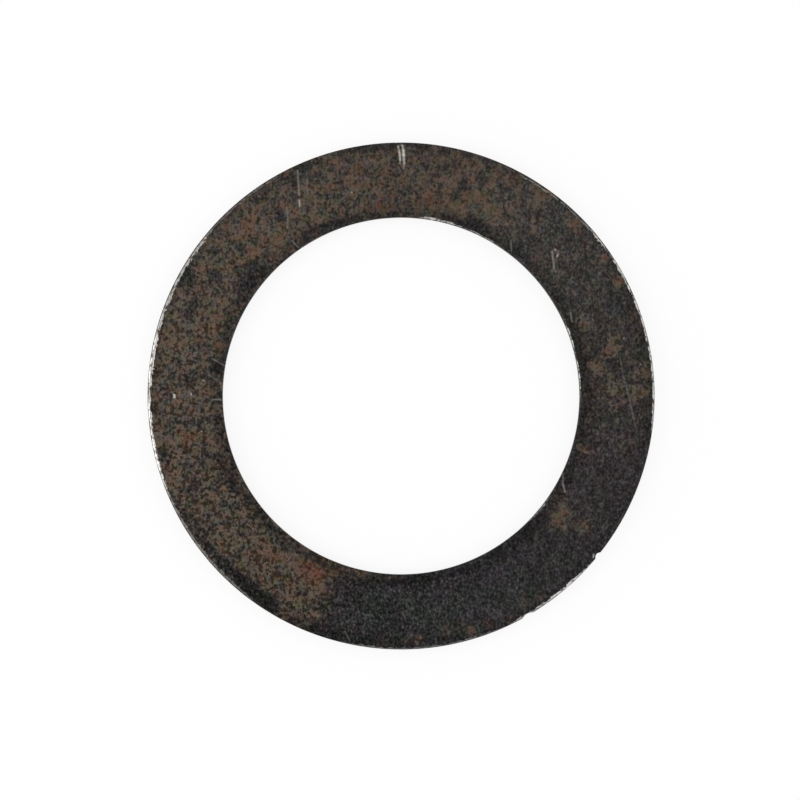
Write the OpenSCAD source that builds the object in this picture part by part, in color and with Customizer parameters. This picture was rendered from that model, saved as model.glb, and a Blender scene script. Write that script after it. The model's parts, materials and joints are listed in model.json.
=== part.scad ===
// Shim washer: a flat spring-steel ring that takes up end play beside a bearing or gear.
// It is blanked in one stroke of a compound die, so its bore and its rim have the same
// sheared edge: a die roll at the top face, a straight burnished land below it, and a
// fractured wall that steps back to the underside, where tumbling has broken the burr.

/* [Ring] */
// Outer diameter, a nominal 40 at its d12 fit
outer_d = 39.9; // [36:0.1:60]
// Bore diameter, a nominal 28 at its D12 fit
bore_d = 28.1; // [12:0.1:33]
// Thickness from face to face
thickness = 1; // [0.7:0.05:3]

/* [Sheared edge] */
// How far the die roll reaches in across the top face
roll_w = 0.2; // [0.16:0.01:0.4]
// How far the die roll drops below the top face
roll_h = 0.14; // [0.05:0.01:0.16]
// Height of the straight burnished land under the die roll
land_h = 0.4; // [0.1:0.02:0.48]
// How far the fractured wall steps back at the underside
fracture_step = 0.05; // [0.01:0.01:0.12]
// Size of the edge that tumbling breaks on the underside
burr_break = 0.04; // [0.02:0.01:0.05]

/* [Nick in the rim] */
// Direction of the nick, anticlockwise from +X, in degrees
nick_angle = -39; // [-180:1:180]
// Width of the nick along the rim, at the top face
nick_w = 0.6; // [0.2:0.05:1.5]
// Depth of the nick, at the top face
nick_depth = 0.18; // [0.1:0.02:0.4]

/* [Chip in the rim] */
// Direction of the chip, anticlockwise from +X, in degrees
chip_angle = -60; // [-180:1:180]
// Width of the chip along the rim, at the top face
chip_w = 0.95; // [0.2:0.05:1.5]
// Depth of the chip, at the top face
chip_depth = 0.16; // [0.1:0.02:0.4]

/* [Both blows] */
// Lean of each bite from upright, which makes it shallower towards the underside
bite_lean = 4; // [2:1:30]

/* [Hidden] */
$fn = 240;

outer_r = outer_d / 2;
bore_r = bore_d / 2;
ring_w = outer_r - bore_r;

// The die roll is half of an arc: it leaves the face on a tangent and ends on the wall.
roll_r = arc_radius(2 * roll_w, roll_h);
land_top = thickness - roll_h;
land_foot = land_top - land_h;

// Cutting shapes run past the surface that they cut by this much.
overcut = 0.5;

// Radius of the arc that is this wide and this deep
function arc_radius(width, depth) = (width * width / 4 + depth * depth) / (2 * depth);

// Section of one sheared edge. Its wall stands on x = 0, with the metal on the -x side.
module sheared_edge() {
    difference() {
        polygon([
            [-ring_w - overcut, 0],
            [-fracture_step - burr_break, 0],
            [-fracture_step, burr_break],
            [0, land_foot],
            [0, thickness],
            [-ring_w - overcut, thickness]
        ]);
        die_roll_waste();
    }
}

// The corner that the die roll draws away, outside its arc
module die_roll_waste() {
    difference() {
        translate([-roll_w, land_top])
            square([roll_w + overcut, roll_h + overcut]);
        translate([-roll_w, thickness - roll_r])
            circle(r = roll_r);
    }
}

// Section of the ring: what the rim's edge and the bore's edge leave between them
module ring_section() {
    intersection() {
        translate([outer_r, 0])
            sheared_edge();
        translate([bore_r, 0])
            mirror([1, 0])
                sheared_edge();
    }
}

// What a blow took out of the rim: a round cutter whose foot leans outwards, so that
// the bite is this wide and this deep at the top face and shallower below
module rim_bite(angle, width, depth) {
    cutter_r = arc_radius(width, depth * cos(bite_lean));
    rotate([0, 0, angle])
        translate([outer_r - depth + cutter_r / cos(bite_lean), 0, thickness])
            rotate([0, -bite_lean, 0])
                cylinder(r = cutter_r, h = 2 * (thickness + overcut), center = true);
}

module shim_ring() {
    color("#3d3834")
        difference() {
            rotate_extrude()
                ring_section();
            rim_bite(nick_angle, nick_w, nick_depth);
            rim_bite(chip_angle, chip_w, chip_depth);
        }
}

shim_ring();
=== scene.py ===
"""Looks of a shim washer: a blanked ring of blackened spring steel, mottled with rust.

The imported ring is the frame. One ring with the same sheared edges stands for it. It is
swept round by geometry nodes, with the torn grain of its fractured walls and the two
bites in its rim in the mesh. Sizes are in millimetres and angles in degrees,
anticlockwise from +X, unless a name says otherwise. Meshes are in metres.
"""

import json
import logging
import math
from dataclasses import dataclass
from enum import Enum
from functools import partial
from typing import Any

import bpy
import numpy as np
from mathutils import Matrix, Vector


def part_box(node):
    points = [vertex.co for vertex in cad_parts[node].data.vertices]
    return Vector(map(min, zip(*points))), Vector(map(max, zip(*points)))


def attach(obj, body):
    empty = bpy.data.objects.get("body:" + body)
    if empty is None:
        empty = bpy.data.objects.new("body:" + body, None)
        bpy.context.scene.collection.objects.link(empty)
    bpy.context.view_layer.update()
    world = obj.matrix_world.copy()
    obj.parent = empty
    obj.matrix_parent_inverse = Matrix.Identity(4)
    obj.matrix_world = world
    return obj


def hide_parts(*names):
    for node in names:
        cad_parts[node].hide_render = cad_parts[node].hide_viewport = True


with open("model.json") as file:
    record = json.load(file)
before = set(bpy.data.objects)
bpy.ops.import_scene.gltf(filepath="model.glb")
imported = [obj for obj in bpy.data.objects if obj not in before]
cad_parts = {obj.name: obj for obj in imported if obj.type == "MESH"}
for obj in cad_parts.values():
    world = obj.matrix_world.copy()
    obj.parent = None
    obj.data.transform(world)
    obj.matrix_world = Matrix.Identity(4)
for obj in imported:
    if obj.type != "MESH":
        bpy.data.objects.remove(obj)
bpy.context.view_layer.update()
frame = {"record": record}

MM = 0.001
# Nearly all the values of a noise lie in this span.
NOISE_SPAN = (0.3, 0.7)
NOISE_MIDDLE = 0.5
SOFT = {"interpolation_type": "SMOOTHSTEP"}
LUMINANCE = (0.2126, 0.7152, 0.0722)
PREFIXES = ("ShaderNode", "GeometryNode", "FunctionNode", "Node")
# What is set by the word after a node's kind, where that isn't its operation
SETTINGS = {"Mix": "data_type", "Attribute": "attribute_name", "VectorRotate": "rotation_type"}
log = logging.getLogger("shim_washer")

Pair = tuple[float, float]
Tree = bpy.types.NodeTree
Node = bpy.types.Node


def linear(hex_colour: str) -> tuple[float, ...]:
    """Turn an sRGB hex colour into the linear one that shaders take.

    Args:
        hex_colour: six hex digits after a hash.

    Returns:
        Linear red, green and blue, and an alpha of 1.
    """
    levels = [int(hex_colour[at:at + 2], 16) / 255 for at in (1, 3, 5)]
    light = [v / 12.92 if v <= 0.04045 else ((v + 0.055) / 1.055) ** 2.4 for v in levels]
    return (*light, 1.0)


def add_node(tree: Tree, kind: str, *values: Any, **named: Any) -> Node:
    """Add one node to a tree, with its settings, its values and its links.

    Args:
        tree: the node tree of a material, of the world or of a modifier.
        kind: the node's type name without its prefix, and after a space its operation
            or its setting. An operation alone is that of a Math node.
        *values: a value, a node or a socket for the inputs in use, in their order. A
            node stands for its output Fac, or else for its first output in use.
        **named: the same for an input by its name, with _ for a space. A name without
            a capital is one of the node's own properties. An input W makes a noise 4D.

    Returns:
        The new node.
    """
    kind, _, setting = (f"Math {kind}" if kind.isupper() else kind).partition(" ")
    if setting:
        named[SETTINGS.get(kind, "operation")] = setting
    if "W" in named:
        named["noise_dimensions"] = "4D"
    prefix = next(start for start in PREFIXES if hasattr(bpy.types, start + kind))
    node = tree.nodes.new(prefix + kind)
    for name, value in named.items():
        if name[0].islower():
            setattr(node, name, value)
    sockets = [socket for socket in node.inputs if socket.enabled]
    given = list(zip(sockets, values))
    for name, value in named.items():
        if name[0].isupper():
            given.append((next(s for s in sockets if s.name == name.replace("_", " ")), value))
    for socket, value in given:
        if isinstance(value, Node):
            value = value.outputs.get("Fac") or next(o for o in value.outputs if o.enabled)
        if isinstance(value, bpy.types.NodeSocket):
            tree.links.new(value, socket)
        else:
            socket.default_value = value
    return node


def empty_tree(owner: bpy.types.Material | bpy.types.World) -> partial[Node]:
    """Empty the node tree of a material or a world.

    Args:
        owner: what the tree belongs to.

    Returns:
        The function add_node, for that tree.
    """
    owner.use_nodes = True
    owner.node_tree.nodes.clear()
    return partial(add_node, owner.node_tree)


def per_metre(size: float) -> float:
    """Turn the size of a pattern into the scale of its noise."""
    return 1 / (size * MM)


def smooth_step(low: float, high: float, value: np.ndarray) -> np.ndarray:
    """Rise smoothly from 0 to 1 as value goes from low to high.

    Args:
        low: the value at which the rise starts.
        high: the value at which it ends.
        value: what is tested.

    Returns:
        The rise at each value.
    """
    share = np.clip((value - low) / (high - low), 0.0, 1.0)
    return share * share * (3.0 - 2.0 * share)


class Edge(Enum):
    """The two sheared edges of the ring."""

    RIM = "rim"
    BORE = "bore"


class Seed(float, Enum):
    """Where each noise is read along its fourth axis, so that no two agree."""

    FILM_HUE = 3.0
    MOTTLE = 5.0
    RUST_HUE = 7.0
    ISLANDS = 11.0
    BREAK_UP = 19.0
    STREAKS = 23.0
    TARNISH = 29.0
    PITS = 31.0


@dataclass(frozen=True)
class SectionPoint:
    """A point of the ring's section, with what the shear did to the metal there."""

    inset: float
    height: float
    land: float = 0.0
    torn: float = 0.0
    foot: float = 0.0


@dataclass(frozen=True)
class ShearedEdge:
    """Section of an edge that a punch cut: roll, burnished land, torn wall, broken burr."""

    roll_w: float = 0.2
    roll_h: float = 0.14
    land_h: float = 0.4
    fracture_step: float = 0.05
    burr_break: float = 0.04
    roll_steps: int = 9
    land_steps: int = 5
    torn_steps: int = 10
    # How fast the tear sets in below the land and ends above the broken burr
    tear_start: float = 3.0
    tear_end: float = 4.0
    # How fast the wander of the land's foot dies away, above it and below it
    wander_above: float = 2.0
    wander_below: float = 1.6

    def points(self, thickness: float) -> list[SectionPoint]:
        """Lay out the edge. Its die roll is an arc that leaves the face on a tangent.

        Args:
            thickness: the ring's thickness.

        Returns:
            The points, from the top face down to the underside.
        """
        radius = (self.roll_w ** 2 + self.roll_h ** 2) / (2 * self.roll_h)
        sweep = math.asin(self.roll_w / radius)
        top = thickness - self.roll_h
        foot = top - self.land_h
        turns = [sweep * (step / self.roll_steps) for step in range(self.roll_steps + 1)]
        land, torn = ([step / steps for step in range(1, steps + 1)]
                      for steps in (self.land_steps, self.torn_steps))
        points = [SectionPoint(
            self.roll_w - radius * math.sin(turn), thickness - radius * (1 - math.cos(turn)))
            for turn in turns]
        points += [SectionPoint(
            0.0, top - self.land_h * share, land=1.0,
            foot=max(0.0, 1 - self.wander_above * (1 - share)))
            for share in land]
        points += [SectionPoint(
            self.fracture_step * share, foot - (foot - self.burr_break) * share,
            torn=min(1.0, self.tear_start * share, self.tear_end * (1 - share)),
            foot=max(0.0, 1 - self.wander_below * share))
            for share in torn]
        return [*points, SectionPoint(self.fracture_step + self.burr_break, 0.0)]


@dataclass(frozen=True)
class RimBite:
    """A notch that a blow left in the rim, cut by a leaning round edge."""

    name: str
    angle: float
    width: float
    depth: float
    shine: float
    lean: float = 4.0

    @property
    def cutter_r(self) -> float:
        """Radius of the edge that is this wide and this deep."""
        deep = self.depth * math.cos(math.radians(self.lean))
        return (self.width ** 2 / 4 + deep ** 2) / (2 * deep)


@dataclass(frozen=True)
class Sector:
    """How the face looks in one direction: its share of rust, and beside the average
    how light its film and its rust are, how strong its grain and how violet its film.

    The last two are how deep the dark line round the bore is, and what the dark band
    along the rim leaves of the light."""

    angle: float
    rust: float
    film_tone: float
    rust_tone: float
    grain: float
    violet: float = 0.0
    groove: float = 0.0
    rim_dark: float = 0.8


@dataclass(frozen=True)
class Bloom:
    """A patch where the rust is denser than round it, or thinner where gain is below 0."""

    angle: float
    radius: float
    along: float
    across: float
    gain: float
    red: float = 0.0


@dataclass(frozen=True)
class WornHighlightStretch:
    """A stretch of an edge drawn as bright steel where a side lamp's highlight falls: partly wear,
    partly a painted highlight.
    """

    edge: Edge
    start: float
    end: float
    width: float
    shine: float
    lip: float = 0.05


@dataclass(frozen=True)
class Scratch:
    """A scratch through the film, from one point of the top face to another."""

    x: float
    y: float
    end_x: float
    end_y: float
    width: float
    bright: float


# The face's finish, going round the ring, in the order of Sector's fields
SECTORS = tuple(Sector(*row) for row in (
    (0, 0.38, 0.816, 0.861, 0.95, 0.15, -0.1), (15, 0.32, 0.859, 0.842, 0.94, 0.08),
    (30, 0.3, 1.16, 0.89, 0.92, 0, 0.15), (52, 0.33, 1.22, 0.91, 0.84),
    (60, 0.43, 1.08, 0.853, 0.8, 0, -0.05), (75, 0.51, 0.968, 0.795, 0.8, 0, -0.2),
    (90, 0.53, 0.911, 0.809, 0.82, 0, -0.2), (115, 0.55, 0.902, 0.867, 0.9, 0, -0.12),
    (135, 0.56, 0.911, 0.91, 0.98, 0, -0.05), (165, 0.58, 0.844, 0.965, 1.12),
    (185, 0.61, 0.69, 0.985, 1.18, 0, 0.08), (210, 0.59, 0.549, 0.964, 1.36, 0, 0.15, 0.95),
    (230, 0.64, 0.543, 0.934, 1.42, 0, 0.3, 0.85),
    (247, 0.62, 0.466, 0.88, 1.42, 0, 0.45, 0.62), (253, 0.14, 0.77, 0.95, 1.25, 0, 0.4, 0.62),
    (262, 0.02, 0.82, 0.95, 1.18, -0.1, 0.25, 0.62), (285, 0.03, 0.91, 0.95, 1, 0, 0, 0.68),
    (300, 0.03, 0.93, 0.95, 0.91, 0.05, -0.1), (312, 0.08, 0.862, 0.815, 0.85, 0.15, -0.05),
    (330, 0.14, 0.93, 0.795, 0.88, 0.35, -0.1), (348, 0.25, 0.92, 0.9, 0.93, 0.3, -0.2),
))

BLOOMS = tuple(Bloom(*row) for row in (
    (1, 18.6, 0.45, 1.05, 0.35), (2.3, 16.5, 0.6, 0.5, 0.36), (5.6, 18.9, 0.45, 0.45, 0.3, 0.4),
    (8.6, 15.6, 0.5, 0.4, 0.3), (12.8, 17.1, 0.6, 0.45, 0.5), (15, 17.4, 0.7, 0.35, 0.45),
    (22.5, 15.4, 0.7, 0.45, 0.35), (27.7, 19.3, 0.35, 0.55, 0.64, 0.3),
    (33.8, 19.5, 0.35, 0.7, 0.45, 0.3), (44.5, 19.1, 0.45, 0.55, 0.6, 0.5),
    (55, 19.4, 0.7, 0.7, 0.6, 0.2), (51.5, 17, 0.35, 0.55, 0.45), (63.5, 16.1, 0.7, 0.55, 0.5),
    (69.5, 16.6, 0.55, 0.45, 0.45), (73.5, 15.5, 0.9, 0.55, 0.55), (77.5, 17.2, 0.45, 0.45, 0.45, 0.5),
    (82.5, 15.9, 0.45, 0.8, 0.5, 0.6), (97, 15, 0.45, 0.45, 0.35, 0.6),
    (103.5, 17.2, 0.45, 0.7, 0.35), (115, 17.1, 0.45, 0.55, 0.5), (119, 16, 0.45, 0.55, 0.35),
    (127.8, 15.7, 0.45, 0.55, 0.5), (131.5, 17.9, 0.9, 0.7, 0.4, 0.5),
    (134.8, 18.7, 0.35, 0.45, 0.45, 0.3), (135.8, 16.3, 0.45, 0.55, 0.5, 0.6),
    (156, 16.4, 0.8, 0.45, 0.4), (164.5, 14.9, 0.35, 0.45, 0.85, 0.8), (167.5, 17.4, 0.7, 0.35, 0.5),
    (168, 18.8, 0.45, 0.45, 0.4), (182, 16.6, 0.55, 0.45, 0.32), (185.5, 17.3, 0.45, 0.45, 0.32),
    (191.5, 17, 0.45, 0.55, 0.34, 0.5), (191, 18.8, 0.35, 0.9, 0.32),
    (201, 19.4, 0.55, 0.55, 0.4), (209.8, 18.4, 0.45, 0.45, 0.32), (207.5, 17, 0.9, 0.25, 0.16),
    (226, 18.4, 0.7, 0.45, 0.28), (231, 16, 1.4, 0.35, 0.45, 0.4),
    (237.5, 15.6, 0.7, 0.55, 0.75, 0.6), (243.5, 15.6, 1.05, 0.7, 0.65, 1),
    (248, 16.5, 0.55, 0.45, 0.55, 0.4), (241.5, 19.1, 0.55, 0.35, 0.45),
    (233, 14.4, 0.55, 0.25, 0.45), (265.4, 19.4, 0.4, 0.3, 0.36),
    (271.5, 19.2, 0.35, 0.35, 0.38, 0.3), (274, 19.2, 0.45, 0.35, 0.92, 0.4),
    (286.4, 19.25, 0.45, 0.38, 0.82, 0.7), (285.2, 18.4, 0.45, 0.4, 0.42, 0.5),
    (281, 18.8, 0.45, 0.4, 0.42, 0.4), (291, 19.2, 0.45, 0.35, 0.56, 0.7),
    (304.6, 19.3, 0.45, 0.3, 0.5, 0.6), (249.5, 14.5, 1, 0.4, 0.5),
    (257, 14.4, 1.2, 0.35, 0.6, 0.2), (266, 14.35, 1.4, 0.3, 0.55, 0.4),
    (296.3, 19.5, 0.8, 0.35, 0.36, 0.9), (300.5, 18.9, 0.5, 0.45, 0.38), (323.1, 15.8, 1.05, 0.85, 0.9),
    (326.5, 15, 0.5, 0.5, 0.34, 0.5), (323.8, 17.55, 0.7, 0.5, 0.62), (343.8, 14.8, 0.35, 0.4, 0.8),
    (358, 17.4, 0.55, 0.55, 0.16), (23, 18.2, 0.7, 0.55, -0.4), (48, 18.3, 0.7, 0.35, -0.3),
    (50.5, 14.7, 0.9, 0.45, -0.4), (66, 14.5, 1.4, 0.45, -0.5), (74, 17.4, 0.45, 0.35, -0.4),
    (98, 19.7, 0.9, 0.35, -0.5), (113, 19.3, 0.9, 0.45, -0.4), (112, 14.4, 1.15, 0.45, -0.5),
    (123.5, 17.1, 0.35, 0.55, -0.4), (137.5, 17.2, 0.35, 0.45, -0.45), (139, 15.5, 0.55, 0.35, -0.4),
    (144, 15.1, 1.4, 0.55, -0.5), (147.5, 17.5, 0.45, 0.55, -0.45), (151, 19.3, 0.9, 0.55, -0.45),
    (157.5, 17.8, 0.55, 0.45, -0.35), (171.5, 14.8, 0.8, 0.55, -0.4), (175, 16.7, 0.9, 0.45, -0.4),
    (203.5, 18.2, 0.45, 0.45, -0.24), (206.5, 16.3, 0.55, 0.35, -0.22), (211.5, 16.2, 0.9, 0.25, -0.22),
    (204, 15.1, 1.4, 0.35, -0.28), (224.8, 17, 0.25, 0.55, -0.32), (213, 19.2, 2.3, 0.45, -0.32),
    (224.5, 19.3, 1.05, 0.45, -0.28), (233, 19.2, 3.7, 0.65, -0.6),
))

# The bright stretches of the edges, widest on the left of the rim: partly wear, partly a painted
# highlight of the side lamps
WORN_HIGHLIGHT_STRETCHES = tuple(WornHighlightStretch(edge, *row) for edge, rows in (
    (Edge.RIM, (
        (114, 150, 0.22, 0.12, 0.1), (135, 166, 0.27, 0.54, 0.1), (152, 184, 0.3, 0.6, 0.09),
        (160, 206, 0.24, 0.85, 0.07), (198, 238, 0.23, 0.19, 0.08), (-12, 30, 0.16, 0.56, 0.06),
        (18, 38, 0.19, 0.6, 0.07), (30, 46, 0.2, 0.6, 0.11), (36, 68, 0.24, 0.18, 0.16),
        (252, 300, 0.15, 0.17, 0.05), (292, 312, 0.19, 0.55, 0.07), (300, 322, 0.2, 0.85, 0.06),
    )),
    (Edge.BORE, (
        (52, 76, 0.1, 0.4), (66, 88, 0.16, 0.65), (-4, 20, 0.09, 0.45), (10, 30, 0.12, 0.45),
        (312, 330, 0.12, 0.3),
    )),
) for row in rows)

SCRATCHES = tuple(Scratch(*row) for row in (
    (-0.24, 19.62, -0.13, 19.17, 0.28, 0.42), (-0.13, 19.17, -0.08, 18.55, 0.28, 0.55),
    (-0.08, 18.55, -0.08, 18.27, 0.26, 0.15), (0.1, 19.68, 0.18, 19.28, 0.28, 0.45),
    (0.18, 19.28, 0.2, 18.9, 0.36, 0.8), (0.2, 18.9, 0.25, 18.28, 0.32, 0.48),
    (0.25, 18.28, 0.2, 17.9, 0.24, 0.14), (-8.13, 17.71, -8.03, 15.8, 0.28, 0.17),
    (-8, 15.4, -7.98, 14.93, 0.22, 0.38), (-7.42, 17.71, -7.35, 15.9, 0.3, 0.05),
    (-8.63, 12.24, -8.08, 11.69, 0.22, 0.12), (11.88, 11.33, 12.03, 10.03, 0.28, 0.21),
    (12.03, 10.03, 12.15, 9.76, 0.26, 0.14), (13.33, 6.53, 13.43, 5.86, 0.26, 0.16),
    (8.62, 12.24, 8.68, 11.41, 0.22, 0.14), (12.72, -6.15, 12.72, -6.89, 0.24, 0.11),
    (12.72, -6.89, 12.88, -7.52, 0.26, 0.24), (-14.85, 2.93, -13.83, 2.35, 0.26, 0.1),
    (-15.1, 1.66, -14.08, 1, 0.26, 0.07), (-14.85, -0.28, -14.08, -0.28, 0.22, 0.12),
    (17.23, 3.03, 17.47, 1.53, 0.2, 0.06), (17.47, 1.53, 17.96, -0.28, 0.2, 0.09),
    (17.96, -0.28, 18.32, -1.93, 0.2, 0.09), (18.32, -1.93, 18.56, -2.79, 0.2, 0.06),
    (-4.41, -18.49, -4.05, -19.21, 0.2, 0.1), (-17.84, 0.08, -17.82, -0.1, 0.3, 0.7),
    (-16.52, 0.2, -16.5, 0.08, 0.26, 0.35), (-15.55, 1.22, -15.48, 1.2, 0.24, 0.3),
    (-8.99, 14.95, -8.95, 13.2, 0.24, 0.08), (-15.7, -2.79, -15.66, -2.79, 0.24, 0.28),
    (-3.89, 16.02, -3.87, 16.02, 0.24, 0.28), (17.53, 4.58, 17.53, 4.54, 0.24, 0.25),
    (18.83, 2.53, 18.83, 2.46, 0.22, 0.2), (12.11, 11.51, 12.13, 11.5, 0.28, 0.36),
    (12.33, 11.12, 12.26, 10.98, 0.3, 0.36), (15.13, -12.47, 15.12, -12.69, 0.22, 0.55),
))


@dataclass(frozen=True)
class OxideFilm:
    """Black heat-treatment oxide on spring steel, as it comes from the quench.

    It is a thin dull film that follows the rolled surface. The eye sees a charcoal that
    shifts between green and violet, with the fine sparkle of the grain under it.
    """

    green: str = "#313331"
    violet: str = "#353235"
    hue_size: float = 1.4
    hue_span: Pair = (0.35, 0.65)
    grain_stretch: float = 0.8
    # The metal's own grain is finer, and is drawn as coarse as it shows.
    grain_size: float = 0.19
    grain_gain: float = 4.9
    mottle_size: float = 0.6
    mottle_gain: float = 1.8
    streak_stretch: float = 0.12
    streak_size: float = 0.2
    streak_gain: float = 0.9
    tarnish_size: float = 0.45
    tarnish_gain: float = 0.22
    pit_floor: float = 0.3
    glint_power: float = -0.42
    roughness: float = 0.5


@dataclass(frozen=True)
class IslandEdge:
    """How the rust's islands end, and the cover from which they show in full."""

    detail: float
    roughness: float
    cover_gain: float
    span: Pair
    full: float


@dataclass(frozen=True)
class RustMottle:
    """Thin dry rust that has come through the oxide film in islands.

    It is powdery and matt. The eye sees warm brown patches with dark pinholes, redder
    where it is freshest. Their light ends crisply and their stain spreads further.
    """

    olive: str = "#514a39"
    brown: str = "#5d483b"
    red: str = "#623f34"
    hue_size: float = 0.8
    hue_span: Pair = (0.38, 0.62)
    island_size: float = 0.8
    island_twist: float = 0.2
    crisp: IslandEdge = IslandEdge(2.0, 1.0, 0.49, (0.6546, 0.7846), 0.4)
    stain: IslandEdge = IslandEdge(1.0, 0.6, 0.365, (0.4471, 0.9471), 0.55)
    least_cover: float = 0.05
    thin_share: float = 0.36
    pinhole: float = 0.32
    pinhole_span: Pair = (-0.18, 0.04)
    pit_size: float = 0.3
    pit_span: Pair = (-0.17, 0.01)
    pit_light: Pair = (0.25, 1.1)
    veil: float = 0.9
    glow: float = 0.12
    glow_blend: float = 0.25
    roughness: float = 0.85


@dataclass(frozen=True)
class EdgeGrime:
    """Oil and dirt that have darkened the faces along their edges.

    The eye sees a ragged dark band along each edge, with a thin paler lip outside it,
    and a dark line round the bore.
    """

    ragged_size: float = 0.35
    rim_band: Pair = (-0.8, -0.1)
    rim_lip: float = 1.1
    bore_band: Pair = (-0.6, 0.1)
    bore_dark: float = 0.6
    bore_lip: float = 1.4
    band_wander: float = -2.4
    fine_wander: float = 0.3
    lip_span: Pair = (0.2, 0.6)
    groove_inset: float = 0.7
    groove_span: Pair = (0.03, 0.2)


@dataclass(frozen=True)
class BareSteel:
    """Bright spring steel: rubbed bare in scratches, and on the rolled edges partly wear, partly a
    painted highlight of the side lamps.

    The eye sees near-white metal, broken up where the film holds on.
    """

    # Paler than real steel, so that the bright stretches of the rims show as the lamps' white
    # highlight: partly a painted highlight
    colour: str = "#e6e3de"
    roughness: float = 0.3
    break_up_size: float = 0.32
    stretch: float = 2.5
    ragged: Pair = (0.5, 1.5)
    end_span: Pair = (-0.03, 0.05)
    film_span: Pair = (0.36, 0.56)
    on_edge: Pair = (0.25, 1.0)
    in_marks: Pair = (0.6, 1.0)
    lip_wander: float = 0.15
    lip_span: Pair = (0.04, 0.09)


@dataclass(frozen=True)
class ShearedWall:
    """The cut walls: a burnished land with upright drag lines, and torn grain below.

    The eye sees a dark satin band over a dull grey-brown one.
    """

    land: str = "#55524d"
    torn: str = "#3b3530"
    # Real drag lines are finer, and these are drawn as coarse as they need to show.
    drag_size: float = 0.06
    drag_stretch: float = 0.06
    torn_size: float = 0.12
    land_light: Pair = (0.4, 1.7)
    torn_light: Pair = (0.3, 1.8)
    rust_light: Pair = (0.4, 1.3)
    rust_share: float = 0.8
    land_roughness: float = 0.38
    torn_roughness: float = 0.75


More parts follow.
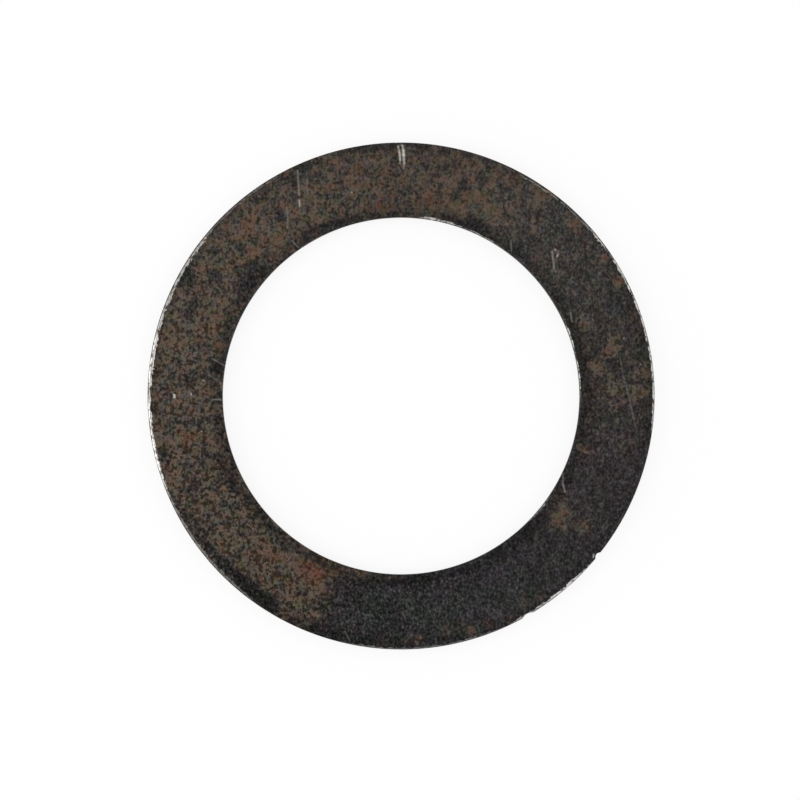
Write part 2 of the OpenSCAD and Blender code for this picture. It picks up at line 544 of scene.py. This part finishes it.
@dataclass
class RingSteel:
    """The ring's one material: film, rust, bright edges that are partly wear and partly a painted
    highlight, scratches and sheared walls.
    """

    rim_r: float
    bore_r: float
    thickness: float
    film: OxideFilm = OxideFilm()
    rust: RustMottle = RustMottle()
    grime: EdgeGrime = EdgeGrime()
    bare: BareSteel = BareSteel()
    wall: ShearedWall = ShearedWall()
    bump_height: float = 0.004
    specular: float = 0.25

    def __post_init__(self) -> None:
        """Start the material with the nodes that say where a point lies."""
        self.material = bpy.data.materials.new("oxidised_spring_steel")
        self.add = empty_tree(self.material)
        self.place = self.add("TexCoord").outputs["Object"]
        flat = self.add("VectorMath MULTIPLY", self.place, (1 / MM, 1 / MM, 0))
        radius = self.add("VectorMath LENGTH", flat)
        self.from_rim = self.add("SUBTRACT", self.rim_r, radius)
        self.from_bore = self.add("SUBTRACT", radius, self.bore_r)
        self.inset = self.add("MINIMUM", self.from_rim, self.from_bore)

    def build(self) -> bpy.types.Material:
        """Build the material.

        Returns:
            The material, ready for the ring.
        """
        add = self.add
        film = self.add_film()
        rust, rust_share, stain = self.add_rust()
        face = add("Mix RGBA", stain, film, rust)
        shade = self.add_edge_shade()
        film_grain, rust_grain = self.add_grain()
        brown, green = (np.dot(LUMINANCE, linear(code)[:3])
                        for code in (self.rust.brown, self.film.green))
        lift = float(brown / green)
        grain = add("Mix", rust_share, film_grain, add("MULTIPLY", rust_grain, lift))
        grain = add("DIVIDE", grain, add("MULTIPLY_ADD", stain, lift - 1, 1))
        shade = add("MULTIPLY", shade, grain)
        face = add("VectorMath SCALE", self.add_tarnish(face, grain), shade)
        wall, wall_share, wall_rough = self.add_wall(rust_share)
        skin = add("Mix RGBA", wall_share, face, wall)
        bright = self.add_bright()
        colour = add("Mix RGBA", bright, skin, linear(self.bare.colour))
        rough = add("Mix", rust_share, self.film.roughness, self.rust.roughness)
        rough = add("Mix", wall_share, rough, wall_rough)
        rough = add("Mix", bright, rough, self.bare.roughness)
        metal = add("SUBTRACT", 1, add("SUBTRACT", rust_share, bright, use_clamp=True))
        bump = add("Bump", Distance=self.bump_height * MM, Height=add("ADD", rust_share, grain))
        surface = add("BsdfPrincipled", Base_Color=colour, Metallic=metal, Roughness=rough,
                      Specular_IOR_Level=self.specular, Normal=bump)
        add("OutputMaterial", Surface=surface)
        return self.material

    def add_grain(self) -> tuple[Node, Node]:
        """Add nodes for the fine grain of the rolled surface, over a coarser mottle.

        Returns:
            Nodes that give how light each point is beside the average: one for the film,
            and one for the rust, which is even but for its dark pinholes.
        """
        add, film, rust = self.add, self.film, self.rust
        rolled = add("VectorMath MULTIPLY", self.place, (1, film.grain_stretch, 1))
        fine = add("TexNoise", rolled, Scale=per_metre(film.grain_size), Detail=2, Roughness=0.6)
        coarse = add("TexNoise", rolled, W=Seed.MOTTLE, Scale=per_metre(film.mottle_size),
                     Detail=2, Roughness=0.8)
        drawn = add("VectorMath MULTIPLY", self.place, (1, film.streak_stretch, 1))
        streaks = add("TexNoise", drawn, W=Seed.STREAKS, Scale=per_metre(film.streak_size), Detail=1)
        middle = -NOISE_MIDDLE * (film.mottle_gain + film.streak_gain)
        patchy = add("MULTIPLY_ADD", coarse, film.mottle_gain, middle)
        patchy = add("MULTIPLY_ADD", streaks, film.streak_gain, patchy)
        speck = add("MULTIPLY", add("SUBTRACT", fine, NOISE_MIDDLE), add("Attribute grain"))
        on_film = add("EXPONENT", add("MULTIPLY_ADD", speck, film.grain_gain, patchy))
        on_film = add("MULTIPLY", on_film, add("Attribute film_tone"))
        hole = add("MapRange", speck, *rust.pinhole_span, rust.pinhole, 1, **SOFT)
        pits = add("TexNoise", self.place, W=Seed.PITS, Scale=per_metre(rust.pit_size), Detail=1)
        pits = add("MULTIPLY", add("SUBTRACT", pits, NOISE_MIDDLE), add("Attribute pitted"))
        pits = add("MapRange", pits, *rust.pit_span, *rust.pit_light, **SOFT)
        veiled = add("SMOOTH_MIN", add("MULTIPLY", patchy, rust.veil), rust.glow, rust.glow_blend)
        on_rust = add("MULTIPLY", add("MULTIPLY", add("EXPONENT", veiled), hole), pits)
        return on_film, add("MULTIPLY", on_rust, add("Attribute rust_tone"))

    def add_tarnish(self, face: Node, grain: Node) -> Node:
        """Add nodes that let the face's colour drift, as thin films of oxide do, and that
        pale its glints and deepen its pits, so that both stay neutral.

        Args:
            face: the node that gives the face's colour.
            grain: the node that says how light each point is.

        Returns:
            A node that gives the colour.
        """
        add, film, gain = self.add, self.film, self.film.tarnish_gain
        drift = add("TexNoise", self.place, W=Seed.TARNISH, Scale=per_metre(film.tarnish_size),
                    Detail=0).outputs["Color"]
        tint = add("VectorMath MULTIPLY_ADD", drift, (gain,) * 3, (1 - gain / 2,) * 3)
        face = add("VectorMath MULTIPLY", face, tint)
        grey = add("RGBToBW", face)
        depth = add("POWER", add("MAXIMUM", grain, film.pit_floor), film.glint_power)
        return add("Mix RGBA", depth, grey, face, clamp_factor=False)

    def add_film(self) -> Node:
        """Add nodes for the colour of the oxide film.

        Returns:
            A node that gives the colour.
        """
        add, film = self.add, self.film
        drift = add("TexNoise", self.place, W=Seed.FILM_HUE, Scale=per_metre(film.hue_size), Detail=2)
        hue = add("MapRange", drift, *film.hue_span)
        hue = add("ADD", hue, add("Attribute violet"))
        return add("Mix RGBA", hue, linear(film.green), linear(film.violet))

    def add_rust(self) -> tuple[Node, Node, Node]:
        """Add nodes for the rust: its colour, and where it shows.

        Returns:
            Nodes that give the colour, the share of rust, and how far it stains.
        """
        add, rust = self.add, self.rust
        drift = add("TexNoise", self.place, W=Seed.RUST_HUE, Scale=per_metre(rust.hue_size), Detail=1)
        hue = add("MapRange", drift, *rust.hue_span)
        colour = add("Mix RGBA", hue, linear(rust.olive), linear(rust.brown))
        colour = add("Mix RGBA", add("Attribute red"), colour, linear(rust.red))
        cover = add("Attribute rust")
        thin = add("MULTIPLY", cover, rust.thin_share)
        shares = []
        for edge in (rust.crisp, rust.stain):
            islands = add("TexNoise", self.place, W=Seed.ISLANDS, Detail=edge.detail,
                          Scale=per_metre(rust.island_size), Roughness=edge.roughness,
                          Distortion=rust.island_twist)
            level = add("MULTIPLY_ADD", cover, edge.cover_gain, islands)
            share = add("MapRange", level, *edge.span, **SOFT)
            held = add("MapRange", cover, rust.least_cover, edge.full)
            shares.append(add("MAXIMUM", add("MULTIPLY", share, held), thin))
        return colour, *shares

    def add_edge_shade(self) -> Node:
        """Add nodes for the darker bands along the two edges of the faces.

        Returns:
            A node that gives the share of light that is left.
        """
        add, grime = self.add, self.grime
        ragged = add("TexNoise", self.place, Scale=per_metre(grime.ragged_size), Detail=2,
                     Roughness=0.6)
        groove = add("Attribute groove")
        rim_dark = add("Attribute rim_dark")
        line = add("MULTIPLY_ADD", ragged, grime.fine_wander, self.from_bore)
        line = add("ABSOLUTE", add("SUBTRACT", line, grime.groove_inset))
        line = add("MapRange", line, *grime.groove_span, 1, 0, **SOFT)
        shade = add("SUBTRACT", 1, add("MULTIPLY", line, groove))
        for inset, span, dark, light in (
            (self.from_rim, grime.rim_band, rim_dark, grime.rim_lip),
            (self.from_bore, grime.bore_band, grime.bore_dark, grime.bore_lip),
        ):
            wander = add("MULTIPLY_ADD", ragged, grime.band_wander, inset)
            band = add("MapRange", wander, *span, dark, 1, **SOFT)
            lip = add("MULTIPLY_ADD", ragged, grime.fine_wander, inset)
            lip = add("MapRange", lip, *grime.lip_span, light, 1, **SOFT)
            shade = add("MULTIPLY", shade, add("MULTIPLY", band, lip))
        return shade

    def add_wall(self, rust_share: Node) -> tuple[Node, Node, Node]:
        """Add nodes for the sheared walls.

        Args:
            rust_share: the node that says where rust shows.

        Returns:
            Nodes that give the walls' colour, where they are, and their roughness.
        """
        add, wall = self.add, self.wall
        upright = add("VectorMath MULTIPLY", self.place, (1, 1, wall.drag_stretch))
        drag = add("TexNoise", upright, Scale=per_metre(wall.drag_size), Detail=2)
        tear = add("TexNoise", self.place, Scale=per_metre(wall.torn_size), Detail=3)
        land_light = add("MapRange", drag, *NOISE_SPAN, *wall.land_light)
        torn_light = add("MapRange", tear, *NOISE_SPAN, *wall.torn_light)
        land = add("VectorMath SCALE", linear(wall.land)[:3], land_light)
        torn = add("VectorMath SCALE", linear(wall.torn)[:3], torn_light)
        on_land = add("Attribute land")
        on_torn = add("Attribute torn")
        colour = add("Mix RGBA", on_torn, land, torn)
        rust_light = add("MapRange", tear, *NOISE_SPAN, *wall.rust_light)
        powder = add("VectorMath SCALE", linear(self.rust.brown)[:3], rust_light)
        thin = add("MULTIPLY", rust_share, wall.rust_share)
        colour = add("Mix RGBA", thin, colour, powder)
        rough = add("Mix", on_torn, wall.land_roughness, wall.torn_roughness)
        return colour, add("ADD", on_land, on_torn, use_clamp=True), rough

    def add_bright(self) -> Node:
        """Add nodes for where the steel is bare: the bright edges, partly wear and partly a painted
        highlight, scratches and the bites.

        Returns:
            A node that gives the share of bare steel.
        """
        add, bare, inset = self.add, self.bare, self.inset
        flat = add("VectorMath MULTIPLY", self.place, (1 / MM, 1 / MM, 0))
        round_ring = add("VectorMath SCALE", add("VectorMath NORMALIZE", flat), self.rim_r)
        across = add("MULTIPLY", inset, bare.stretch)
        drawn = add("VectorMath ADD", round_ring, add("CombineXYZ", Z=across))
        noise = add("TexNoise", drawn, W=Seed.BREAK_UP, Scale=1 / bare.break_up_size,
                    Detail=2, Roughness=0.6)
        # The bright stretches of the edges: partly wear, partly a painted highlight of the side lamps
        wear = add("Attribute wear")
        shine = add("Attribute shine")
        reach = add("MULTIPLY", wear, add("MapRange", noise, *NOISE_SPAN, *bare.ragged))
        worn_and_highlit = add("MapRange", add("SUBTRACT", reach, inset), *bare.end_span, **SOFT)
        held = add("MapRange", noise, *bare.film_span, *bare.on_edge)
        steady = add("MapRange", noise, *bare.film_span, *bare.in_marks)
        bright = add("MULTIPLY", add("MULTIPLY", worn_and_highlit, shine), held)
        beyond = add("SUBTRACT", inset, add("Attribute lip"))
        beyond = add("MULTIPLY_ADD", noise, bare.lip_wander, beyond)
        bright = add("MULTIPLY", bright, add("MapRange", beyond, *bare.lip_span, **SOFT))
        # The bites' bright steel; on the chip it is partly a painted highlight
        bright = add("MAXIMUM", bright, add("MULTIPLY", add("Attribute bite"), steady))
        group = self.scratch_group()
        marks = None
        for scratch in SCRATCHES:
            run = (scratch.end_x - scratch.x, scratch.end_y - scratch.y, 0)
            mark = add("Group", self.place, (scratch.x, scratch.y, self.thickness), run,
                       scratch.width, scratch.bright, node_tree=group)
            marks = mark if marks is None else add("MAXIMUM", marks, mark)
        return add("MAXIMUM", bright, add("MULTIPLY", marks, steady))

    def scratch_group(self) -> Tree:
        """Build the group that draws one scratch as a soft-edged line.

        Returns:
            The group: from a place, a start, a run and a width to a share of bare steel.
        """
        group = bpy.data.node_groups.new("Scratch through the film", "ShaderNodeTree")
        kinds = {"Place": "Vector", "Start": "Vector", "Run": "Vector", "Width": "Float",
                 "Brightness": "Float"}
        for name, kind in kinds.items():
            group.interface.new_socket(name, in_out="INPUT", socket_type=f"NodeSocket{kind}")
        group.interface.new_socket("Bare", in_out="OUTPUT", socket_type="NodeSocketFloat")
        add = partial(add_node, group)
        outputs = group.nodes.new("NodeGroupInput").outputs
        place, start, run, width, brightness = (outputs[name] for name in kinds)
        offset = add("VectorMath SUBTRACT", add("VectorMath SCALE", place, 1 / MM), start)
        along = add("VectorMath DOT_PRODUCT", offset, run)
        squared = add("VectorMath DOT_PRODUCT", run, run)
        share = add("DIVIDE", along, squared, use_clamp=True)
        gap = add("VectorMath DISTANCE", offset, add("VectorMath SCALE", run, share))
        line = add("MapRange", gap, 0, add("MULTIPLY", width, 0.5), 1, 0, **SOFT)
        add("GroupOutput", add("MULTIPLY", line, brightness))
        return group


@dataclass
class Weather:
    """What damp and handling have done at each point of the swept ring, and where its edges carry a
    painted highlight.
    """

    rim_r: float
    bore_r: float
    angle: np.ndarray
    radius: np.ndarray
    upper: np.ndarray
    bore_clean: float = 0.3
    bore_span: Pair = (0.1, 0.8)
    rim_clean: float = 0.25
    rim_span: Pair = (0.1, 0.6)
    under_rust: float = 0.42
    under_swing: float = 0.22
    under_turn: float = 40.0
    under_red: float = 0.15
    pitting: float = 1.05
    solid_span: Pair = (0.65, 1.0)
    solid_fill: float = 0.7
    fade: float = 8.0
    lip: float = 0.05

    def values(self) -> dict[str, np.ndarray]:
        """Work out all that the material reads.

        Returns:
            The values at the points, by the name of their attribute.
        """
        values = dict(zip(("rust", "red"), self.rust()))
        for name in ("film_tone", "rust_tone", "grain", "violet", "groove", "rim_dark"):
            values[name] = self.round_ring(name)
        solid = smooth_step(*self.solid_span, values["rust"])
        values["pitted"] = values["grain"] ** 2 * (self.pitting - self.solid_fill * solid)
        values["wear"], values["shine"], values["lip"] = self.wear()
        return values

    def round_ring(self, name: str) -> np.ndarray:
        """Read one of the sectors' values at each point.

        Args:
            name: the name of the value.

        Returns:
            The value at each point.
        """
        stops = [sector.angle for sector in SECTORS]
        values = [getattr(sector, name) for sector in SECTORS]
        return np.interp(self.angle, stops, values, period=360)

    def rust(self) -> tuple[np.ndarray, np.ndarray]:
        """Work out the rust round each point from the sectors and the blooms.

        Returns:
            How much of each point's surroundings it covers, and how red it is there.
        """
        cover = self.round_ring("rust")
        red = np.zeros_like(self.angle)
        for bloom in BLOOMS:
            turn = (self.angle - bloom.angle + 180) % 360 - 180
            along = np.radians(turn) * self.radius / bloom.along
            across = (self.radius - bloom.radius) / bloom.across
            weight = np.exp(-(along ** 2 + across ** 2))
            cover = cover + bloom.gain * weight
            red = np.maximum(red, bloom.red * weight)
        for clean, span, inset in (
            (self.bore_clean, self.bore_span, self.radius - self.bore_r),
            (self.rim_clean, self.rim_span, self.rim_r - self.radius),
        ):
            cover *= 1 - clean + clean * smooth_step(*span, inset)
        wave = np.sin(np.radians(2 * self.angle + self.under_turn))
        under = self.under_rust + self.under_swing * wave
        cover = np.where(self.upper, np.clip(cover, 0, 1), under)
        return cover, np.where(self.upper, red, self.under_red)

    def wear(self) -> tuple[np.ndarray, np.ndarray, np.ndarray]:
        """Work out how far in from its edge each point's surroundings are bright: partly wear, partly a
        painted highlight.

        Returns:
            At each point, how far in the bright band ends, how bright it is, and how
            far in it starts.
        """
        width = np.zeros_like(self.angle)
        shine = np.zeros_like(self.angle)
        lip = np.full_like(self.angle, self.lip)
        outer = self.radius > (self.rim_r + self.bore_r) / 2
        for stretch in WORN_HIGHLIGHT_STRETCHES:
            half = (stretch.end - stretch.start) / 2
            middle = (stretch.end + stretch.start) / 2
            off = np.abs((self.angle - middle + 180) % 360 - 180)
            near = smooth_step(0.0, 1.0, (half - off) / self.fade)
            mine = (outer if stretch.edge is Edge.RIM else ~outer) & self.upper
            lip = np.where(mine & (stretch.shine * near > shine), stretch.lip, lip)
            width = np.where(mine, np.maximum(width, stretch.width * near), width)
            shine = np.where(mine, np.maximum(shine, stretch.shine * near), shine)
        return width, shine, lip


@dataclass
class BlankedRing:
    """The washer: a ring cut in one stroke, swept round from its section."""

    rim_r: float
    bore_r: float
    thickness: float
    edge: ShearedEdge = ShearedEdge()
    bites: tuple[RimBite, ...] = (
        RimBite("Nick", 321.0, 0.6, 0.18, 0.1),
        # The chip's bright wall is partly bared steel, partly a painted highlight of the right lamp on
        # the rim
        RimBite("Chip", 300.0, 0.95, 0.16, 1.0),
    )
    segments: int = 1380
    top_steps: int = 15
    under_steps: int = 6
    crowd_width: float = 3.5
    crowd_share: float = 0.85
    relief: float = 0.018
    relief_size: float = 0.13
    relief_span: Pair = (0.3, 0.75)
    foot_wander: float = 0.05
    foot_wander_size: float = 1.4
    bite_band: float = 0.03
    shine_span: Pair = (0.2, 0.7)
    least_shine: float = 0.1
    crease: float = 28.0
    seed: float = 4.0

    def section(self) -> list[tuple[float, SectionPoint]]:
        """Lay out the section, once round, as radii with their points.

        Returns:
            Pairs of a radius and a section point, from the rim's roll down its wall,
            across the underside, up the bore's wall and back across the top face.
        """
        edge = self.edge.points(self.thickness)
        under = self.edge.fracture_step + self.edge.burr_break
        top = self.edge.roll_w
        loop = [(self.rim_r - point.inset, point) for point in edge]
        loop += [(radius, SectionPoint(0.0, 0.0)) for radius in np.linspace(
            self.rim_r - under, self.bore_r + under, self.under_steps + 1)[1:-1]]
        loop += [(self.bore_r + point.inset, point) for point in reversed(edge)]
        loop += [(radius, SectionPoint(0.0, self.thickness)) for radius in np.linspace(
            self.bore_r + top, self.rim_r - top, self.top_steps + 1)[1:-1]]
        return loop

    def section_mesh(self) -> bpy.types.Mesh:
        """Draw the section as a closed loop of edges, with the rim's wall at x = 0.

        Returns:
            The mesh, with one attribute for each thing that the shear did.
        """
        loop = self.section()
        mesh = bpy.data.meshes.new("shim_ring_section")
        mesh.from_pydata(
            [((radius - self.rim_r) * MM, -point.height * MM, 0.0) for radius, point in loop],
            [(at, (at + 1) % len(loop)) for at in range(len(loop))], [])
        for name in ("land", "torn", "foot"):
            layer = mesh.attributes.new(name, "FLOAT", "POINT")
            layer.data.foreach_set("value", [getattr(point, name) for _, point in loop])
        return mesh

    def sweep_inputs(self) -> dict[str, float | int]:
        """Name the sizes that the sweep takes.

        Returns:
            The value of each input, by its name.
        """
        given = {
            "Rim Radius": self.rim_r * MM,
            "Thickness": self.thickness * MM,
            "Segments": self.segments,
            "Crowd Width": math.radians(self.crowd_width),
            "Crowd Share": self.crowd_share,
            "Relief": self.relief * MM,
            "Relief Scale": per_metre(self.relief_size),
            "Foot Wander": self.foot_wander * MM,
            "Foot Scale": per_metre(self.foot_wander_size),
            "Bite Band": self.bite_band * MM,
            "Seed": self.seed,
        }
        for bite in self.bites:
            given[f"{bite.name} Angle"] = math.radians(bite.angle)
            given[f"{bite.name} Depth"] = bite.depth * MM
            given[f"{bite.name} Lean"] = math.radians(bite.lean)
            given[f"{bite.name} Radius"] = bite.cutter_r * MM
            given[f"{bite.name} Shine"] = bite.shine
        return given

    def build_tree(self, material: bpy.types.Material) -> Tree:
        """Build the tree that sweeps the section round and roughens its torn walls.

        Args:
            material: what the ring is dressed in.

        Returns:
            The tree.
        """
        tree = bpy.data.node_groups.new("Blanked ring", "GeometryNodeTree")
        tree.interface.new_socket("Section", in_out="INPUT", socket_type="NodeSocketGeometry")
        for name, value in self.sweep_inputs().items():
            kind = "NodeSocketInt" if isinstance(value, int) else "NodeSocketFloat"
            socket = tree.interface.new_socket(name, in_out="INPUT", socket_type=kind)
            socket.default_value = value
        tree.interface.new_socket("Ring", in_out="OUTPUT", socket_type="NodeSocketGeometry")
        self.given = tree.nodes.new("NodeGroupInput").outputs
        self.add = partial(add_node, tree)
        add = self.add
        profile = add("MeshToCurve", self.given["Section"])
        self.ring = add("CurveToMesh", self.add_path(), Profile_Curve=profile)
        self.add_fracture()
        for bite in self.bites:
            self.add_bite(bite)
        soft = add("Compare LESS_THAN", add("InputMeshEdgeAngle"), math.radians(self.crease))
        ring = add("SetShadeSmooth", self.ring, Shade_Smooth=True)
        ring = add("SetShadeSmooth", ring, Shade_Smooth=soft, domain="EDGE")
        ring = add("SetMaterial", add("RealizeInstances", ring), Material=material)
        add("GroupOutput", ring)
        return tree

    def add_path(self) -> Node:
        """Add the circle that the section follows, with its points crowded at the bites.

        Returns:
            The node that gives the path.
        """
        add, given = self.add, self.given
        circle = add("CurvePrimitiveCircle", given["Segments"], Radius=given["Rim Radius"])
        even = add("MULTIPLY", add("DIVIDE", add("InputIndex"), given["Segments"]), math.tau)
        angle = even
        for bite in self.bites:
            off = add("SUBTRACT", even, given[f"{bite.name} Angle"])
            unit = add("DIVIDE", off, given["Crowd Width"])
            fade = add("EXPONENT", add("MULTIPLY", add("MULTIPLY", unit, unit), -1))
            pull = add("MULTIPLY", add("MULTIPLY", off, fade), given["Crowd Share"])
            angle = add("SUBTRACT", angle, pull)
        start = add("CombineXYZ", given["Rim Radius"])
        place = add("VectorRotate Z_AXIS", start, Angle=angle)
        return add("SetPosition", circle, Position=place)

    def add_fracture(self) -> None:
        """Add nodes that let the land's foot wander up and down, as a fracture does, and
        sink the torn walls by the grain of the break."""
        add, given = self.add, self.given
        for part, amount, scale, detail, roughness, span, ends in (
            ("foot", "Foot Wander", "Foot Scale", 3.0, 0.5, NOISE_SPAN, (-1.0, 1.0)),
            ("torn", "Relief", "Relief Scale", 2.0, 0.6, self.relief_span, (0.0, -1.0)),
        ):
            place = add("InputPosition")
            weight = add("InputNamedAttribute", part)
            noise = add("TexNoise", place, W=given["Seed"], Scale=given[scale], Detail=detail,
                        Roughness=roughness)
            shift = add("MULTIPLY", add("MapRange", noise, *span, *ends), given[amount])
            shift = add("MULTIPLY", shift, weight)
            if part == "foot":
                shift = add("CombineXYZ", Z=shift)
            else:
                shift = add("VectorMath SCALE", add("InputNormal"), shift)
            self.ring = add("SetPosition", self.ring, Offset=shift)

    def add_bite(self, bite: RimBite) -> None:
        """Add nodes that push the rim in where a blow bit into it, and note its shine, which on the
        chip is partly a painted highlight.

        Args:
            bite: the bite.
        """
        add, given = self.add, self.given
        angle, depth, lean, cutter, shine = (
            given[f"{bite.name} {size}"] for size in ("Angle", "Depth", "Lean", "Radius", "Shine"))
        back = add("MULTIPLY", angle, -1)
        turned = add("VectorRotate Z_AXIS", add("InputPosition"), Angle=back)
        x, y, z = add("SeparateXYZ", turned).outputs
        slope = add("TANGENT", lean)
        level = add("COSINE", lean)
        under = add("SUBTRACT", given["Thickness"], z)
        axis = add("SUBTRACT", given["Rim Radius"], depth)
        wide = add("DIVIDE", cutter, level)
        axis = add("MULTIPLY_ADD", under, slope, add("ADD", axis, wide))
        side = add("DIVIDE", y, cutter)
        rest = add("SUBTRACT", 1, add("MULTIPLY", side, side), use_clamp=True)
        cut = add("SUBTRACT", axis, add("MULTIPLY", add("SQRT", rest), wide))
        pushed = add("MINIMUM", x, cut)
        gap = add("SUBTRACT", cut, x)
        dimming = (depth_in * MM for depth_in in self.shine_span)
        fade = add("MapRange", under, *dimming, shine, self.least_shine)
        near = add("MapRange", gap, 0, given["Bite Band"], fade, 0)
        home = add("VectorRotate Z_AXIS", add("CombineXYZ", pushed, y, z), Angle=angle)
        outside, beside = (add("Compare GREATER_THAN", value, 0) for value in (x, rest))
        here = add("BooleanMath AND", outside, beside)
        most = add("MAXIMUM", add("InputNamedAttribute", "bite"), near)
        ring = add("StoreNamedAttribute", self.ring, here, "bite", most)
        self.ring = add("SetPosition", ring, here, home)

    def weather(self, mesh: bpy.types.Mesh) -> None:
        """Give each point its share of rust, its redness and its wear.

        Args:
            mesh: the swept ring.
        """
        flat = np.empty(len(mesh.vertices) * 3)
        mesh.vertices.foreach_get("co", flat)
        x, y, z = (flat.reshape(-1, 3) / MM).T
        angle = np.degrees(np.arctan2(y, x)) % 360
        upper = z > self.thickness / 2
        weather = Weather(self.rim_r, self.bore_r, angle, np.hypot(x, y), upper)
        for name, value in weather.values().items():
            layer = mesh.attributes.new(name, "FLOAT", "POINT")
            layer.data.foreach_set("value", value.astype(np.float32))

    def build(self) -> None:
        """Sweep the ring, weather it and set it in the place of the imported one."""
        steel = RingSteel(self.rim_r, self.bore_r, self.thickness)
        ring = bpy.data.objects.new("shim_ring_blanked", self.section_mesh())
        bpy.context.scene.collection.objects.link(ring)
        tree = self.build_tree(steel.build())
        sweep = ring.modifiers.new("Sweep", "NODES")
        sweep.node_group = tree
        values = self.sweep_inputs()
        for item in tree.interface.items_tree:
            if item.in_out == "INPUT" and item.name in values:
                sweep[item.identifier] = values[item.name]
        graph = bpy.context.evaluated_depsgraph_get()
        mesh = bpy.data.meshes.new_from_object(
            ring.evaluated_get(graph), preserve_all_data_layers=True, depsgraph=graph)
        ring.modifiers.remove(sweep)
        ring.data = mesh
        mesh.name = "shim_ring_blanked"
        self.weather(mesh)
        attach(ring, "root")
        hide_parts("shim_ring")
        log.info("%s: %d faces, %d points", ring.name, len(mesh.polygons), len(mesh.vertices))


@dataclass
class Studio:
    """A pale floor, an even white sky and two soft side lamps."""

    floor_colour: str = "#f4f4f4"
    floor_half: float = 2000.0
    floor_drop: float = 0.01
    floor_glow: float = 0.85
    sky: float = 0.9
    lamp_size: float = 200.0
    lamp_reach: float = 260.0
    lamp_height: float = 25.0
    left_angle: float = 190.0
    left_power: float = 0.25
    right_angle: float = 20.0
    right_power: float = 0.12

    def build(self) -> None:
        """Make the floor, the sky and the lamps."""
        self.build_floor()
        self.build_sky()
        self.build_lamp("left", self.left_angle, self.left_power)
        self.build_lamp("right", self.right_angle, self.right_power)

    def build_floor(self) -> None:
        """Make the floor, of matt white paper, a hair below the ring's underside."""
        half, drop = self.floor_half * MM, self.floor_drop * MM
        mesh = bpy.data.meshes.new("floor")
        corners = ((-half, -half), (half, -half), (half, half), (-half, half))
        mesh.from_pydata([(*corner, -drop) for corner in corners], [], [(0, 1, 2, 3)])
        floor = bpy.data.objects.new("floor", mesh)
        bpy.context.scene.collection.objects.link(floor)
        material = bpy.data.materials.new("matt_white_paper")
        add = empty_tree(material)
        paper = add("BsdfDiffuse", linear(self.floor_colour))
        white = add("Emission", (1, 1, 1, 1))
        path = add("LightPath").outputs
        seen = add("MAXIMUM", path["Is Camera Ray"], path["Is Glossy Ray"])
        seen = add("MAXIMUM", seen, path["Is Transmission Ray"])
        seen = add("MULTIPLY", seen, self.floor_glow)
        add("OutputMaterial", add("MixShader", seen, paper, white))
        mesh.materials.append(material)

    def build_sky(self) -> None:
        """Make the even white light that comes from all round."""
        world = bpy.data.worlds.new("soft_white")
        add = empty_tree(world)
        add("OutputWorld", add("Background", (1, 1, 1, 1), self.sky))
        bpy.context.scene.world = world

    def build_lamp(self, name: str, angle: float, power: float) -> None:
        """Make one soft lamp that faces the ring.

        Args:
            name: the lamp's name.
            angle: the direction that it stands in.
            power: its power, in watts.
        """
        data = bpy.data.lights.new(f"soft_lamp_{name}", "AREA")
        data.shape = "SQUARE"
        data.size = self.lamp_size * MM
        data.energy = power
        lamp = bpy.data.objects.new(data.name, data)
        turn, tilt = math.radians(angle), math.radians(self.lamp_height)
        away = Vector((
            math.cos(turn) * math.cos(tilt), math.sin(turn) * math.cos(tilt), math.sin(tilt)))
        lamp.location = away * self.lamp_reach * MM
        lamp.rotation_mode = "QUATERNION"
        lamp.rotation_quaternion = away.to_track_quat("Z", "Y")
        bpy.context.scene.collection.objects.link(lamp)


@dataclass
class PhotoCamera:
    """The camera, straight over the ring as in the photograph."""

    lens: float = 100.0
    sensor: float = 36.0
    clip: Pair = (10.0, 5000.0)
    frame_px: int = 800
    rim_radius_px: float = 253.5
    centre_px: Pair = (401.1, 396.0)

    def build(self, rim_r: float, rim_height: float) -> None:
        """Make the camera and frame the ring with it.

        Args:
            rim_r: the ring's outer radius.
            rim_height: the height at which the ring is widest.
        """
        px = rim_r / self.rim_radius_px
        distance = self.frame_px * px * self.lens / self.sensor
        data = bpy.data.cameras.new("camera")
        data.lens = self.lens
        data.sensor_width = self.sensor
        data.clip_start, data.clip_end = (reach * MM for reach in self.clip)
        camera = bpy.data.objects.new("camera", data)
        across, down = (at - self.frame_px / 2 for at in self.centre_px)
        camera.location = (-across * px * MM, down * px * MM, (distance + rim_height) * MM)
        bpy.context.scene.collection.objects.link(camera)
        bpy.context.scene.camera = camera
        log.info("camera over the ring, %.0f mm lens", self.lens)


def main() -> None:
    """Build the washer, the studio and the camera."""
    logging.basicConfig(level=logging.INFO, format="%(name)s: %(message)s")
    bpy.context.scene.view_settings.view_transform = "Standard"
    low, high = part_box("shim_ring")
    rim_r = min(high.x, -low.x, high.y, -low.y) / MM
    mounts = {mount["name"]: mount["dims"] for mount in frame["record"]["mounts"]}
    washer = BlankedRing(rim_r, float(mounts["bore"]["r_mm"]), (high.z - low.z) / MM)
    washer.build()
    Studio().build()
    PhotoCamera().build(rim_r, washer.thickness - washer.edge.roll_h)


if __name__ == "__main__":
    main()
